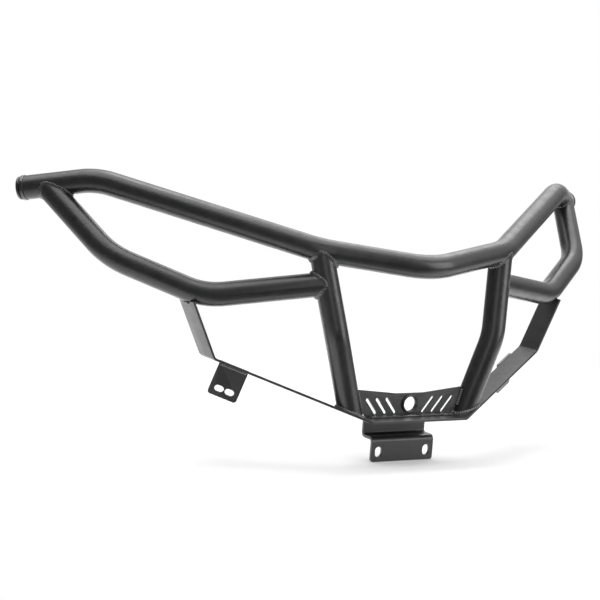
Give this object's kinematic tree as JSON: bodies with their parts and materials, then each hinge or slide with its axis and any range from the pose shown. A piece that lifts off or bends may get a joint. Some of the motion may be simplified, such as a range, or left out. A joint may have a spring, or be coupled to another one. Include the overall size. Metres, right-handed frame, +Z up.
{
  "type": "atv front bumper",
  "caption": "All-terrain vehicle front bumper of bent round tube and flat bar, with a vented face plate, a slotted centre bracket and slotted side tabs.",
  "frame": {"origin": "on the centre bracket's rear face, halfway between its two long holes", "axes": "+X to the viewer's right across the vehicle, -Y forwards, away from the vehicle and towards the viewer, +Z up"},
  "size_m": [0.927, 0.3274, 0.3596],
  "materials": {
    "tube_coat": "black satin powder coat",
    "plate_coat": "black satin powder coat",
    "weld_coat": "black powder coat over a weld bead",
    "plug_plastic": "glossy black"
  },
  "bodies": {
    "root": {"top_rail": "tube_coat", "left_upright": "tube_coat", "right_upright": "tube_coat", "left_side_tube": "tube_coat", "right_side_tube": "tube_coat", "lower_bar": "plate_coat", "face_plate": "plate_coat", "hole_ring": "plate_coat", "centre_bracket": "plate_coat", "left_tab": "plate_coat", "right_tab": "plate_coat", "left_plug": "plug_plastic", "right_plug": "plug_plastic", "left_upright_rail_weld": "weld_coat", "right_upright_rail_weld": "weld_coat", "left_side_rail_weld": "weld_coat", "right_side_rail_weld": "weld_coat", "left_side_upright_weld": "weld_coat", "right_side_upright_weld": "weld_coat", "left_foot_weld": "weld_coat", "right_foot_weld": "weld_coat", "left_face_weld": "weld_coat", "right_face_weld": "weld_coat", "face_foot_weld": "weld_coat", "left_bar_inner_weld": "weld_coat", "right_bar_inner_weld": "weld_coat", "left_bar_outer_weld": "weld_coat", "right_bar_outer_weld": "weld_coat", "left_tab_weld": "weld_coat", "right_tab_weld": "weld_coat", "bracket_front_weld": "weld_coat", "bracket_rear_weld": "weld_coat"}
  },
  "joints": []
}
